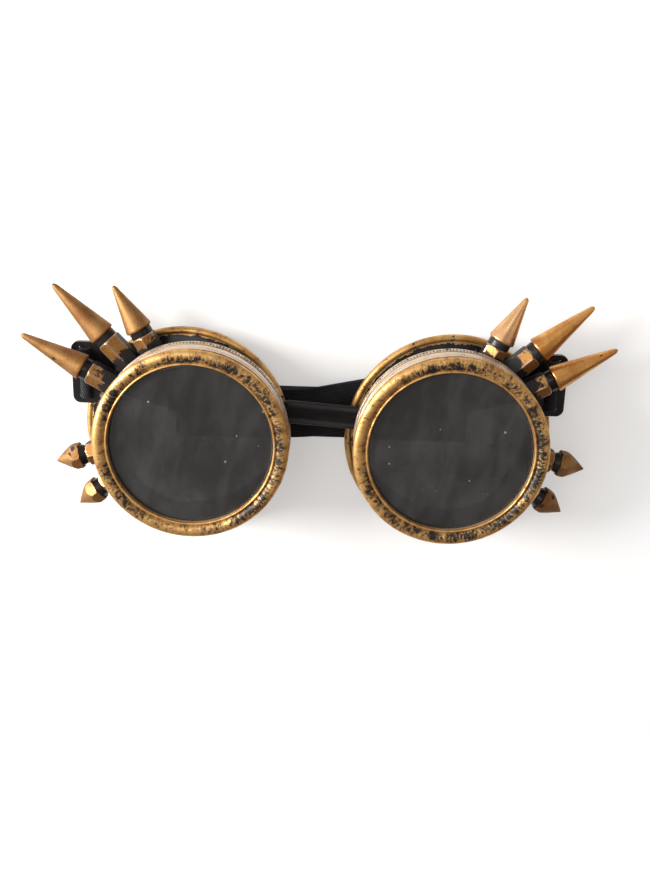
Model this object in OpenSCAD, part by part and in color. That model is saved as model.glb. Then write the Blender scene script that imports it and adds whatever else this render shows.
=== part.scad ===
// Pair of round-eyecup goggles with screw-on bezel rings, cone spikes, a nose bridge strip
// and a folded elastic head strap. Millimetres. Z = 0 is the surface that the goggles lie on,
// +Z is the way the lenses look, +Y is the forehead side, X = 0 is midway between the cups.
// Lists with two entries hold the left cup's value and then the right cup's.
// Lists with five entries run round one cup: long, long, medium, short, short spike.

/* [Overall] */
// Distance between the two lens axes
lens_spacing = 78.8; // [76:0.1:96]
// Clear diameter of each bezel opening, which is also the bore of the cup
aperture_d = 50; // [41:0.5:60]
// Height of the cup's neck top above the table
neck_top = 25.5; // [24:0.1:31]

/* [Eyecup] */
// Wall of the plain barrel
barrel_wall = 2.5; // [2.2:0.1:3.2]
// Height of the barrel's top edge, where the neck starts
barrel_top = 18; // [17.6:0.1:19]
// Step from the barrel in to the neck
neck_step = 0.3; // [0.2:0.05:0.6]
// Radius by which the rolled rim's centre circle is larger than the bore
rim_reach = 7.3; // [6:0.1:9]
// Radius of the rolled rim's own section
rim_bead_r = 1.3; // [1:0.1:1.6]
// Offset of the skirt towards the temple, left and right
skirt_out = [3.8, 1.4]; // [1:0.1:4.2]
// Offset of the skirt towards the cheek
skirt_drop = 2.4; // [0:0.1:3.5]
// Height of the rim's plane at the skirt's own centre
skirt_z = 6.3; // [6:0.1:8]
// Tilt of the rim's plane, lower at the temple
skirt_tilt = 5.7; // [0:0.1:6.5]
// Radius of the skirt's concave flare
flare_r = 8; // [6:0.1:9]
// Wall of the flared skirt
skirt_wall = 2; // [1.5:0.1:2.5]

/* [Strap lug] */
// Reach of the lug's outer bar beyond the cup's bore, left and right
lug_out = [15.5, 13]; // [12.5:0.1:17]
// Place of the lug's middle towards the forehead
lug_y = 15.3; // [14.8:0.1:17]
// Underside of the lug
lug_z = 4.6; // [4.4:0.1:5]
// Thickness of the lug
lug_t = 1.8; // [1.4:0.1:2]
// Width of the outer bar
lug_bar = 2.2; // [1.8:0.1:3]
// Width of the middle bar that the strap loops round
lug_core = 1.4; // [1.2:0.1:1.8]
// Width of the bars above and below the slots
lug_end = 1.6; // [1.2:0.1:3]
// Rounding of the outer corners
lug_corner_r = 2.4; // [1:0.1:3]

/* [Bezel ring] */
// Wall of the ring from its bore to the plain band
ring_wall = 1.5; // [1.3:0.1:2.5]
// Radial room for the screw thread between neck and ring
thread_room = 0.8; // [0.6:0.05:1]
// Height of the serrated grip band
grip_h = 3; // [2:0.1:4]
// Number of teeth in the grip band
grip_teeth = 90; // [60:1:120]
// Depth of the teeth
grip_depth = 0.5; // [0.3:0.05:0.7]
// Height of the plain band
band_h = 5; // [3:0.1:5.2]
// Section radius of the front bead
bead_r = 1.5; // [1.2:0.1:1.8]
// Thickness of the front lip over the lens
lip_t = 1.7; // [1.4:0.1:2.2]

/* [Lenses] */
// Thickness of the tinted lens at its edge
tinted_t = 1.3; // [1:0.1:1.6]
// Height of the tinted lens's raised middle
tinted_step = 0.5; // [0.3:0.1:1]
// Width of the lens's low margin inside the opening
lens_margin = 0.8; // [0.5:0.1:2]
// Thickness of the gasket between the lenses
spacer_t = 0.6; // [0.4:0.1:1]
// Radial width of the gasket
spacer_w = 1.8; // [1.2:0.1:2.4]
// Thickness of the clear lens
clear_t = 1.2; // [1:0.1:1.5]

/* [Spikes] */
// Height of the spikes' axes above the table
spike_z = 13; // [12.8:0.1:13.4]
// Angle of each post's seat round the left cup, from the temple towards the forehead
left_angles = [28, 45.2, 61.2, -15.4, -31.5]; // [-60:0.1:80]
// Angle of each post's seat round the right cup
right_angles = [32, 49, 64.6, -12.6, -32.7]; // [-60:0.1:80]
// Lean of each left spike away from the radial line
left_leans = [0, 1, -1.2, 0, -8]; // [-9:0.1:9]
// Lean of each right spike
right_leans = [-4, -7.5, -2, 0, 0]; // [-9:0.1:9]
// Length of each left post
left_posts = [10.7, 11.9, 6.7, 9, 9]; // [4:0.1:14]
// Length of each right post
right_posts = [8.5, 9.8, 5.3, 8, 8.4]; // [4:0.1:14]
// Width of the hexagonal posts across their flats
post_af = 7; // [5.8:0.1:7.1]
// Diameter of the collars
collar_d = 7; // [5.8:0.1:7.2]
// Length of the collars
collar_h = 2.2; // [1.5:0.1:3]
// Diameter of the cone spikes at their base
cone_d = 8.4; // [7:0.1:9]
// Length of the long cones
long_l = 21.2; // [15:0.1:26]
// Length of the medium cone
medium_l = 15.2; // [10:0.1:20]
// Width of the short spikes across their flats
short_af = 7.5; // [6:0.1:8.5]
// Length of the short spikes
short_l = 8.6; // [7:0.1:12]
// Diameter of the screws that hold the spikes
screw_d = 4; // [3:0.5:4]
// Depth of the screw in the cone spikes
screw_in_cone = 5; // [4:0.1:6]
// Depth of the screw in the short spikes
screw_in_short = 3.6; // [3:0.1:4]

/* [Bridge strip] */
// Width of the strip
bridge_w = 7.5; // [6:0.1:10]
// Thickness of the strip
bridge_t = 1.8; // [1.4:0.1:2.4]
// Section radius of the raised beads along its edges
bridge_bead_r = 1.15; // [1:0.05:1.4]
// Place of the strip's middle towards the forehead
bridge_y = 5.6; // [-4:0.1:6]
// Height of the strip's middle
bridge_z = 13; // [12.5:0.1:15]
// Turn of the strip in plan
bridge_slope = -4; // [-5:0.5:5]

/* [Head strap] */
// Width of the elastic
strap_w = 16.5; // [12:0.1:17]
// Thickness of the elastic
strap_t = 1.2; // [0.8:0.05:1.3]
// Air between two layers of the elastic
strap_air = 0.4; // [0.3:0.05:0.6]
// Place of the straight layers towards the forehead
strap_y = 2.9; // [0:0.1:6]
// Distance of the two folds beyond the lens axes
fold_out = 6.6; // [0:0.1:7]
// Radius in plan of the turns of the bottom and top layers towards their lugs
turn_r = 65; // [50:1:66]
// Straight run of those layers before the left and the right lug
turn_lead = [3.4, 14.4]; // [2:0.1:16]

/* [Hidden] */
$fn = 96;

LEFT = 0;
RIGHT = 1;
LONG = [0, 1];
MEDIUM = [2];
SHORT = [3, 4];
SPIKES = [0, 1, 2, 3, 4];

past = 1;                // how far a cutting shape runs past the face it cuts
stack_gap = 0.1;         // gap between one piece of the lens stack and the next
slot_gap = 0.15;         // gap round a piece in its slot
screw_gap = 0.05;        // radial gap round a screw
lens_gap = 0.4;          // radial gap round the lenses in the ring

bore_r = aperture_d / 2;
barrel_r = bore_r + barrel_wall;
neck_r = barrel_r - neck_step;
rim_r = bore_r + rim_reach;
flare_z = skirt_wall / 2 + flare_r;      // height of the flare's own centre over the rim's plane
barrel_low = skirt_z + rim_r * sin(skirt_tilt);

ring_bore_r = neck_r + thread_room;
band_r = ring_bore_r + ring_wall;
lens_r = neck_r - thread_room;
pocket_r = lens_r + lens_gap;
clear_z = neck_top + stack_gap;
spacer_z = clear_z + clear_t + stack_gap;
tinted_z = spacer_z + spacer_t + stack_gap;
lip_z = tinted_z + tinted_t + stack_gap;
shoulder_z = neck_top + 3 * stack_gap;
valley_z = lip_z + lip_t;
bead_out = 0.3;                          // how far the front bead stands out past the plain band
bead_c = band_r + bead_out - bead_r;     // radius of the bead's centre circle
bead_z = valley_z - 0.6;                 // height of the bead's centre circle
groove_depth = 0.6;
lower_groove_h = 1.2;
upper_groove_h = 0.7;
grip_top = barrel_top + grip_h;
band_z = grip_top + lower_groove_h;
edge_r = 0.5;                            // section radius of the small bead at the opening
edge_set = 0.1;                          // how far that bead's middle is set back from its corner
step_set = 0.2;                          // step in from the plain band to the front bead's foot
core_in = 2;                             // how far the ring's section runs inside the bore before it is cut

seat_r = barrel_r - 0.4;                 // distance of the posts' flat seats from the lens axis
seat_play = 0.3;                         // room round a post on its seat
head_r = screw_d * 0.72;
head_h = 1;
head_sink = seat_r - bore_r + 0.25;      // how far inside the post's seat the screw's head bears
screw_hole_r = screw_d / 2 + screw_gap;
collar_neck = 0.8;                       // how much slimmer a short spike's collar is at its post
hole_end = 0.3;                          // room past the end of a screw in its spike
foot_edge = 0.2;                         // bevel round a spike's foot
tip_r = 0.45;                            // rounding of a spike's tip
knee_r = 0.87;                           // share of a short spike's radius at the knee of its taper
knee_low = 0.27;                         // share of its length where that taper starts
knee_high = 0.5;                         // share of its length where the taper's knee is

slot_w = strap_t + 2 * slot_gap;
slot_l = strap_w + 3 * slot_gap;
plate_in = 3;                            // how far inside the bore the lug's plate starts before it is cut

bridge_head_w = 10;
bridge_head_h = 5.2;
bridge_head_in = 2.7;                    // how far the strip's heads reach in from the bore
bead_stop = 0.8;                         // distance of the edge beads' ends from the barrels
bar_in = 0.4;                            // how far the plain bar's edges stay inside the beads'

layer_rise = strap_t + strap_air;
layer_z = [for (i = [0:2]) strap_t / 2 + i * layer_rise];
edge_round = 0.3;                        // rounding of the elastic's edges
lift_r = 2;                              // radius in which the strap turns up into its lug
turn_angle = [16, 12];                   // how far each end layer turns in plan
drop_r = 8;                              // radius of the top layer's bends down to the table
drop_out = 4;                            // how far past the fold the top layer starts down
loop_sink = 0.3;                         // how far the loop's middle is below the lug's top
tail_air = 0.3;                          // room between the strap's tails and its own lowest layer
ring_step = 5;                           // spacing of the strap's cross-sections on its runs

function angles(side) = side == LEFT ? left_angles : right_angles;
function leans(side) = side == LEFT ? left_leans : right_leans;
function posts(side) = side == LEFT ? left_posts : right_posts;
function lug_reach(side) = bore_r + lug_out[side];
function outer_slot_x(side) = lug_reach(side) - lug_bar - slot_w / 2;
function inner_slot_x(side) = outer_slot_x(side) - slot_w - lug_core;

// Puts a shape drawn for the right cup, temple towards +X, on either cup
module on_cup(side) {
    translate([(side == LEFT ? -1 : 1) * lens_spacing / 2, 0, 0])
        if (side == LEFT) mirror([1, 0, 0]) children();
        else children();
}

// Puts a shape drawn along +Z on one spike's seat, pointing out of the barrel
module at_spike(side, k) {
    rotate([0, 0, angles(side)[k]]) translate([seat_r, 0, spike_z])
        rotate([0, 90, leans(side)[k]]) children();
}

// Puts a shape drawn about the skirt's own axis, rim plane at its zero, on the cup
module on_skirt(side) {
    translate([skirt_out[side], -skirt_drop, skirt_z]) rotate([0, skirt_tilt, 0]) children();
}

module ring_shape(r_out, r_in, z, h) {
    translate([0, 0, z]) difference() {
        cylinder(r = r_out, h = h);
        translate([0, 0, -past]) cylinder(r = r_in, h = h + 2 * past);
    }
}

// Half section from the skirt's axis out to its flare, or to the hollow a wall further in
module flare_section(r_out, room) {
    difference() {
        translate([0, -skirt_wall / 2]) square([r_out, skirt_wall / 2 + flare_z]);
        translate([rim_r, flare_z]) circle(r = flare_r + room);
    }
}

module skirt() {
    rotate_extrude() {
        flare_section(rim_r, 0);
        translate([rim_r, 0]) circle(r = rim_bead_r);
    }
}

module skirt_hollow() {
    hollow_r = rim_r - rim_bead_r;
    rotate_extrude() flare_section(hollow_r, skirt_wall);
    translate([0, 0, -4 * rim_bead_r]) cylinder(r = hollow_r, h = 4 * rim_bead_r - skirt_wall / 4);
}

module lug_plate(side) {
    reach = lug_reach(side);
    half_w = slot_l / 2 + lug_end;
    start = bore_r - plate_in;
    translate([0, lug_y, lug_z]) linear_extrude(lug_t) {
        translate([start, -half_w]) square([reach - lug_corner_r - start, 2 * half_w]);
        translate([start, lug_corner_r - half_w])
            square([reach - start, 2 * (half_w - lug_corner_r)]);
        for (end = [-1, 1])
            translate([reach - lug_corner_r, end * (half_w - lug_corner_r)])
                circle(r = lug_corner_r);
    }
}

module lug_slots(side) {
    for (x = [outer_slot_x(side), inner_slot_x(side)])
        translate([x - slot_w / 2, lug_y - slot_l / 2, -past])
            cube([slot_w, slot_l, lug_z + lug_t + 2 * past]);
}

// Flat seat, clearance hole and inner head seat of one spike
module spike_seat() {
    tall = 2 * (post_af / sqrt(3) + seat_play);
    wide = post_af + 2 * seat_play;
    translate([-tall / 2, -wide / 2, 0]) cube([tall, wide, post_af + collar_h]);
    translate([0, 0, -bore_r / 2]) cylinder(r = screw_hole_r, h = bore_r / 2 + past);
    translate([0, 0, -head_sink - bore_r / 4]) cylinder(r = head_r + seat_play, h = bore_r / 4);
}

module eyecup(side) {
    color("#232122") difference() {
        on_cup(side) difference() {
            union() {
                on_skirt(side) skirt();
                translate([0, 0, barrel_low]) cylinder(r = barrel_r, h = barrel_top - barrel_low);
                translate([0, 0, barrel_low]) cylinder(r = neck_r, h = neck_top - barrel_low);
                lug_plate(side);
            }
            translate([0, 0, -past]) cylinder(r = bore_r, h = neck_top + 2 * past);
            on_skirt(side) skirt_hollow();
            lug_slots(side);
            for (k = SPIKES) at_spike(side, k) spike_seat();
        }
        bridge_bar(slot_gap);
    }
}

// Half section of the ring's outside: grooves, plain band, front bead, valley and edge bead
module ring_section() {
    groove_r = band_r - groove_depth;
    step_r = band_r - step_set;
    core_r = bore_r - core_in;
    polygon([
        [core_r, grip_top - past], [groove_r, grip_top - past], [groove_r, band_z],
        [band_r, band_z], [band_r, band_z + band_h],
        [groove_r, band_z + band_h], [groove_r, band_z + band_h + upper_groove_h],
        [step_r, band_z + band_h + upper_groove_h], [step_r, bead_z],
        [bead_c, bead_z + bead_r / 2], [bead_c - bead_r / 2, valley_z],
        [bore_r + edge_r, valley_z], [bore_r, valley_z - edge_r], [core_r, valley_z - edge_r]
    ]);
    translate([bead_c, bead_z]) circle(r = bead_r);
    translate([bore_r + edge_r + edge_set, valley_z - edge_set]) circle(r = edge_r);
}

module grip_band() {
    points = [
        for (i = [0:2 * grip_teeth - 1])
            let (a = 180 * i / grip_teeth, r = band_r - (i % 2) * grip_depth)
                [r * cos(a), r * sin(a)]
    ];
    translate([0, 0, barrel_top]) linear_extrude(grip_h) polygon(points);
}

module bezel_ring(side) {
    color("#b4783c") on_cup(side) difference() {
        union() {
            rotate_extrude() ring_section();
            grip_band();
        }
        cylinder(r = ring_bore_r, h = shoulder_z);
        cylinder(r = pocket_r, h = lip_z);
        cylinder(r = bore_r, h = valley_z + bead_r + past);
    }
}

module tinted_lens(side) {
    step_r = bore_r - lens_margin;
    color("#3a3838") on_cup(side) translate([0, 0, tinted_z]) rotate_extrude() polygon([
        [0, 0], [lens_r, 0], [lens_r, tinted_t], [step_r, tinted_t],
        [step_r - tinted_step, tinted_t + tinted_step], [0, tinted_t + tinted_step]
    ]);
}

module lens_spacer(side) {
    color("#151515") on_cup(side) ring_shape(lens_r, lens_r - spacer_w, spacer_z, spacer_t);
}

module clear_lens(side) {
    color("#d8dfe0") on_cup(side) translate([0, 0, clear_z]) cylinder(r = lens_r, h = clear_t);
}

module post(h) {
    difference() {
        cylinder(r = post_af / sqrt(3), h = h, $fn = 6);
        translate([0, 0, -past]) cylinder(r = screw_hole_r, h = h + 2 * past);
    }
}

module collar(r_low, r_high) {
    difference() {
        cylinder(r1 = r_low, r2 = r_high, h = collar_h);
        translate([0, 0, -past]) cylinder(r = screw_hole_r, h = collar_h + 2 * past);
    }
}

module cone_spike(length) {
    r = cone_d / 2;
    difference() {
        rotate_extrude() polygon([
            [0, 0], [r - foot_edge, 0], [r, 2 * foot_edge],
            [tip_r, length - tip_r], [tip_r / 2, length - tip_r / 4], [0, length]
        ]);
        translate([0, 0, -past]) cylinder(r = screw_hole_r, h = screw_in_cone + hole_end + past);
    }
}

// A hexagonal foot turned down to a point, which leaves an arch at the top of each flat
module short_spike() {
    r = short_af / sqrt(3);
    difference() {
        intersection() {
            cylinder(r = r, h = short_l, $fn = 6);
            rotate_extrude() polygon([
                [0, 0], [r - foot_edge, 0], [r, foot_edge],
                [r, knee_low * short_l], [knee_r * r, knee_high * short_l],
                [tip_r, short_l - tip_r], [0, short_l]
            ]);
        }
        translate([0, 0, -past]) cylinder(r = screw_hole_r, h = screw_in_short + hole_end + past);
    }
}

module spike_screw(length) {
    translate([0, 0, -head_sink]) cylinder(r = screw_d / 2, h = head_sink + length);
    translate([0, 0, -head_sink - head_h]) cylinder(r = head_r, h = head_h);
}

module spike_posts(side) {
    color("#b07a44") on_cup(side)
        for (k = SPIKES) at_spike(side, k) post(posts(side)[k]);
}

module spike_collars(side) {
    r = collar_d / 2;
    color("#1d1c1c") on_cup(side)
        for (k = SPIKES)
            at_spike(side, k) translate([0, 0, posts(side)[k]])
                collar(k > 2 ? r - collar_neck : r, r);
}

module long_spikes(side) {
    color("#a8743a") on_cup(side)
        for (k = LONG)
            at_spike(side, k) translate([0, 0, posts(side)[k] + collar_h]) cone_spike(long_l);
}

module medium_spike(side) {
    color("#a8743a") on_cup(side)
        for (k = MEDIUM)
            at_spike(side, k) translate([0, 0, posts(side)[k] + collar_h]) cone_spike(medium_l);
}

module short_spikes(side) {
    color("#a8743a") on_cup(side)
        for (k = SHORT)
            at_spike(side, k) translate([0, 0, posts(side)[k] + collar_h]) short_spike();
}

module spike_screws(side) {
    color("#6c6a66") on_cup(side)
        for (k = SPIKES)
            at_spike(side, k)
                spike_screw(posts(side)[k] + collar_h + (k > 2 ? screw_in_short : screw_in_cone));
}

module at_bridge() {
    translate([0, bridge_y, bridge_z]) rotate([0, 0, bridge_slope]) children();
}

// Plain bar of the strip from head to head, with room added for its slots
module bridge_bar(room) {
    length = lens_spacing - 2 * bore_r + 2 * bridge_head_in;
    bar_w = bridge_w - 2 * bar_in + 2 * room;
    bar_t = bridge_t + 2 * room;
    at_bridge() translate([-length / 2, -bar_w / 2, -bar_t / 2]) cube([length, bar_w, bar_t]);
}

module bridge_strip() {
    bead_l = lens_spacing - 2 * (barrel_r + bead_stop);
    head_x = lens_spacing / 2 - bore_r;
    color("#262627") {
        bridge_bar(0);
        for (end = [-1, 1]) {
            at_bridge() translate([-bead_l / 2, end * (bridge_w / 2 - bridge_bead_r), 0])
                rotate([0, 90, 0]) cylinder(r = bridge_bead_r, h = bead_l);
            intersection() {
                at_bridge() translate([end * head_x, 0, 0])
                    cube([2 * bridge_head_in, bridge_head_w, bridge_head_h], center = true);
                translate([end * lens_spacing / 2, 0, 0])
                    cylinder(r = bore_r - slot_gap, h = neck_top);
            }
        }
    }
}

// The strap's line seen from the front: stations of [along X, height, direction]
function bend(x, z, r, from, to) =
    let (steps = max(2, round(abs(to - from) / 20)), s = sign(to - from))
        [for (i = [0:steps])
            let (a = from + (to - from) * i / steps)
                [x + s * r * sin(a), z - s * r * cos(a), a]];

function run(x0, x1, z, a) =
    let (steps = ceil(abs(x1 - x0) / ring_step))
        [for (i = [1:steps - 1]) [x0 + (x1 - x0) * i / steps, z, a]];

// An end layer in plan turns off, runs straight and turns back. Where each of the three ends
function turn_ends(angle) =
    let (bow = turn_r * sin(angle),
         straight = (lug_y - strap_y - 2 * turn_r * (1 - cos(angle))) / tan(angle))
        [bow, bow + straight, 2 * bow + straight];

// Its rise a distance d past the point where it turns off, and its heading there
function plan_rise(d, angle) =
    let (h = lug_y - strap_y, x = turn_ends(angle))
        d <= 0 ? 0
        : d < x[0] ? turn_r - sqrt(turn_r * turn_r - d * d)
        : d < x[1] ? turn_r * (1 - cos(angle)) + (d - x[0]) * tan(angle)
        : d < x[2] ? h - turn_r + sqrt(turn_r * turn_r - (x[2] - d) * (x[2] - d)) : h;
function plan_heading(d, angle) =
    let (near = 0.5)
        atan2(plan_rise(d + near, angle) - plan_rise(d - near, angle), 2 * near);

// Section of the elastic in its own plane, with rounded edges
function strap_section() =
    let (w = strap_w / 2, t = strap_t / 2)
        [[-w, 0], [edge_round - w, -t], [w - edge_round, -t],
         [w, 0], [w - edge_round, t], [edge_round - w, t]];

// One cross-section at a station, y to the side and turned to its heading
function strap_ring(station, y, heading) =
    let (x = station[0], z = station[1], a = station[2])
        [for (p = strap_section())
            [x - p[0] * sin(heading) - p[1] * sin(a) * cos(heading),
             y + p[0] * cos(heading) - p[1] * sin(a) * sin(heading),
             z + p[1] * cos(a)]];

module head_strap() {
    half = lens_spacing / 2;
    loop_r = (slot_w + lug_core) / 2;
    loop_z = lug_z + lug_t - loop_sink;
    tail_z = strap_t + tail_air;
    fold_x = half + fold_out;
    drop_x = fold_x + drop_out;
    fall = acos(1 - (layer_z[2] - layer_z[0]) / (2 * drop_r));
    drop_end = drop_x + 2 * drop_r * sin(fall);
    left_out = -half - outer_slot_x(LEFT);
    left_in = -half - inner_slot_x(LEFT);
    right_out = half + outer_slot_x(RIGHT);
    right_in = half + inner_slot_x(RIGHT);
    left_turn = left_out + turn_lead[LEFT] + turn_ends(turn_angle[LEFT])[2];
    right_turn = right_out - turn_lead[RIGHT] - turn_ends(turn_angle[RIGHT])[2];
    first = concat(
        [[left_in, tail_z, 90]],
        bend((left_in + left_out) / 2, loop_z, loop_r, 90, 270),
        bend(left_out + lift_r, layer_z[0] + lift_r, lift_r, 270, 360),
        run(left_out + lift_r, fold_x, layer_z[0], 360)
    );
    second = concat(
        bend(fold_x, (layer_z[0] + layer_z[1]) / 2, layer_rise / 2, 360, 540),
        run(fold_x, -fold_x, layer_z[1], 540),
        bend(-fold_x, (layer_z[1] + layer_z[2]) / 2, layer_rise / 2, 540, 360)
    );
    third = concat(
        run(-fold_x, drop_x, layer_z[2], 360),
        bend(drop_x, layer_z[2] - drop_r, drop_r, 360, 360 - fall),
        bend(drop_end, layer_z[0] + drop_r, drop_r, 360 - fall, 360),
        run(drop_end, right_out - lift_r, layer_z[0], 360),
        bend(right_out - lift_r, layer_z[0] + lift_r, lift_r, 360, 450),
        bend((right_in + right_out) / 2, loop_z, loop_r, 450, 630),
        [[right_in, tail_z, 630]]
    );
    rings = concat(
        [for (p = first)
            strap_ring(p, strap_y + plan_rise(left_turn - p[0], turn_angle[LEFT]),
                       -plan_heading(left_turn - p[0], turn_angle[LEFT]))],
        [for (p = second) strap_ring(p, strap_y, 0)],
        [for (p = third)
            strap_ring(p, strap_y + plan_rise(p[0] - right_turn, turn_angle[RIGHT]),
                       plan_heading(p[0] - right_turn, turn_angle[RIGHT]))]
    );
    sides = len(strap_section());
    last = len(rings) - 1;
    color("#17171a") polyhedron(
        points = [for (ring = rings) for (p = ring) p],
        faces = concat(
            [[for (j = [0:sides - 1]) j]],
            [for (i = [0:last - 1]) for (j = [0:sides - 1])
                let (a = i * sides + j, b = i * sides + (j + 1) % sides)
                    [a, a + sides, b + sides]],
            [for (i = [0:last - 1]) for (j = [0:sides - 1])
                let (a = i * sides + j, b = i * sides + (j + 1) % sides)
                    [a, b + sides, b]],
            [[for (j = [sides - 1:-1:0]) last * sides + j]]
        )
    );
}

eyecup(LEFT);  // eyecup_left
eyecup(RIGHT);  // eyecup_right
bezel_ring(LEFT);  // bezel_ring_left
bezel_ring(RIGHT);  // bezel_ring_right
tinted_lens(LEFT);  // tinted_lens_left
tinted_lens(RIGHT);  // tinted_lens_right
lens_spacer(LEFT);  // lens_spacer_left
lens_spacer(RIGHT);  // lens_spacer_right
clear_lens(LEFT);  // clear_lens_left
clear_lens(RIGHT);  // clear_lens_right
spike_posts(LEFT);  // spike_posts_left
spike_posts(RIGHT);  // spike_posts_right
spike_collars(LEFT);  // spike_collars_left
spike_collars(RIGHT);  // spike_collars_right
long_spikes(LEFT);  // long_spikes_left
long_spikes(RIGHT);  // long_spikes_right
medium_spike(LEFT);  // medium_spike_left
medium_spike(RIGHT);  // medium_spike_right
short_spikes(LEFT);  // short_spikes_left
short_spikes(RIGHT);  // short_spikes_right
spike_screws(LEFT);  // spike_screws_left
spike_screws(RIGHT);  // spike_screws_right
bridge_strip();
head_strap();
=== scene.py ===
import math

import bmesh
import bpy
import numpy as np
from mathutils import Matrix, Vector


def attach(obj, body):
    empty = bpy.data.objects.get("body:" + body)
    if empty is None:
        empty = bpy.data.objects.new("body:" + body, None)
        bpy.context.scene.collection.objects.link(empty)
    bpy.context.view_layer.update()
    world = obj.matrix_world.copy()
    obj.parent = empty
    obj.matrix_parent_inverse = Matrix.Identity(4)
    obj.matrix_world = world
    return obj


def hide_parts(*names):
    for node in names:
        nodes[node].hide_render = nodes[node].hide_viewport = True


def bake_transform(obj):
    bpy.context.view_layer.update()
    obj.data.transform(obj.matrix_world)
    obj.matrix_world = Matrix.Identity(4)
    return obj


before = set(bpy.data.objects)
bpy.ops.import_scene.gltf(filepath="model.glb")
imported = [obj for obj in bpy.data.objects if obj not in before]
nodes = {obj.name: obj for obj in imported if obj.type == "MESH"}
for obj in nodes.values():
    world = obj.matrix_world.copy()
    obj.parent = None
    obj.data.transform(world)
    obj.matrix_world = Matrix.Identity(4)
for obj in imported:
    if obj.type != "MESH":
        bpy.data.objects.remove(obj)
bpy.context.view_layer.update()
scene = bpy.context.scene
mm = 0.001
sides = {"left": -1, "right": 1}
halfSpacing = 39.4   # from the middle of the nose to each lens axis
print("frame loaded:", len(nodes), "CAD nodes")

# camera at the photograph's place
cameraSetup = {
    "location": (1.158, 105.48, 329.58),
    "tilt": 18.612,   # degrees that the camera leans back from looking straight down
    "roll": -1.684,
    "lens": 58.28,
}


def makeCamera(c):
    data = bpy.data.cameras.new("photoCamera")
    data.sensor_fit = "HORIZONTAL"
    data.sensor_width = 36
    data.lens = c["lens"]
    data.clip_start, data.clip_end = 0.01, 20
    cam = bpy.data.objects.new("photoCamera", data)
    scene.collection.objects.link(cam)
    t, r = math.radians(c["tilt"]), math.radians(c["roll"])
    back = Vector((0, math.sin(t), math.cos(t)))
    right, up = Vector((1, 0, 0)), Vector((0, math.cos(t), -math.sin(t)))
    rolledRight = math.cos(r) * right - math.sin(r) * up
    rolledUp = math.sin(r) * right + math.cos(r) * up
    turned = Matrix((rolledRight, rolledUp, back)).transposed().to_4x4()
    cam.matrix_world = Matrix.Translation(Vector(c["location"]) * mm) @ turned
    scene.camera = cam


makeCamera(cameraSetup)
print("camera placed")


# shader helpers
def setInputs(tree, node, inputs):
    for key, value in inputs.items():
        if isinstance(value, bpy.types.NodeSocket):
            tree.links.new(value, node.inputs[key])
        else:
            node.inputs[key].default_value = value


def addNode(tree, kind, inputs=None, **settings):
    node = tree.nodes.new("ShaderNode" + kind)
    for name, value in settings.items():
        setattr(node, name, value)
    setInputs(tree, node, inputs or {})
    return node


def maths(tree, operation, a, b=0.0, clamp=False):
    made = addNode(tree, "Math", {0: a, 1: b}, operation=operation, use_clamp=clamp)
    return made.outputs[0]


def times(tree, a, b, clamp=False):
    return maths(tree, "MULTIPLY", a, b, clamp)


def plus(tree, a, b, clamp=False):
    return maths(tree, "ADD", a, b, clamp)


def minus(tree, a, b):
    return maths(tree, "SUBTRACT", a, b)


# each part is a value with its weight
def weighted(tree, *parts):
    total = None
    for value, weight in parts:
        share = times(tree, value, weight)
        total = share if total is None else plus(tree, total, share)
    return total


def lengthOf(tree, a, b):
    return maths(tree, "SQRT", plus(tree, times(tree, a, a), times(tree, b, b)))


def mixNumbers(tree, factor, a, b):
    return addNode(tree, "Mix", {0: factor, 2: a, 3: b}, data_type="FLOAT").outputs[0]


def mixColours(tree, factor, a, b):
    return addNode(tree, "Mix", {0: factor, 6: a, 7: b}, data_type="RGBA").outputs[2]


def noise(tree, vector, scale, detail=4.0, roughness=0.55, distortion=0.0):
    made = addNode(tree, "TexNoise", {
        "Vector": vector, "Scale": scale, "Detail": detail,
        "Roughness": roughness, "Distortion": distortion})
    return made.outputs[0]


def ramp(tree, value, low, high):
    made = addNode(tree, "MapRange", {0: value, 1: low, 2: high},
                   interpolation_type="SMOOTHSTEP")
    return made.outputs[0]


def startGroup(name, takes, gives):
    group = bpy.data.node_groups.new(name, "ShaderNodeTree")
    for label, kind, default in takes:
        socket = group.interface.new_socket(label, in_out="INPUT", socket_type="NodeSocket" + kind)
        if default is not None:
            socket.default_value = default
    for label, kind in gives:
        group.interface.new_socket(label, in_out="OUTPUT", socket_type="NodeSocket" + kind)
    return group, group.nodes.new("NodeGroupInput").outputs, group.nodes.new("NodeGroupOutput").inputs


def useGroup(tree, group, inputs):
    return addNode(tree, "Group", inputs, node_tree=group).outputs


# bronze paint rubbed over black plastic: it stays on what stands proud and leaves ragged black flecks
def makeDryBrush():
    g, i, o = startGroup("dryBrush", [
        ("Vector", "Vector", None), ("Rub", "Float", 0.5), ("Fleck Scale", "Float", 900.0),
        ("Patch Scale", "Float", 160.0), ("Gain", "Float", 12.0)],
        [("Mask", "Float"), ("Tone", "Float"), ("Height", "Float")])
    flecks = noise(g, i["Vector"], i["Fleck Scale"], 8, 0.68, 0.4)
    patches = noise(g, i["Vector"], i["Patch Scale"], 3, 0.5, 0.2)
    grain = noise(g, i["Vector"], times(g, i["Fleck Scale"], 4.3), 3, 0.6)
    field = weighted(g, (flecks, 0.60), (patches, 0.24), (grain, 0.16))
    limit = mixNumbers(g, i["Rub"], 0.68, 0.30)
    mask = plus(g, times(g, minus(g, field, limit), i["Gain"]), 0.5, clamp=True)
    g.links.new(mask, o["Mask"])
    g.links.new(ramp(g, weighted(g, (patches, 0.6), (grain, 0.4)), 0.36, 0.64), o["Tone"])
    g.links.new(weighted(g, (mask, 0.7), (grain, 0.5)), o["Height"])
    return g


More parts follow.
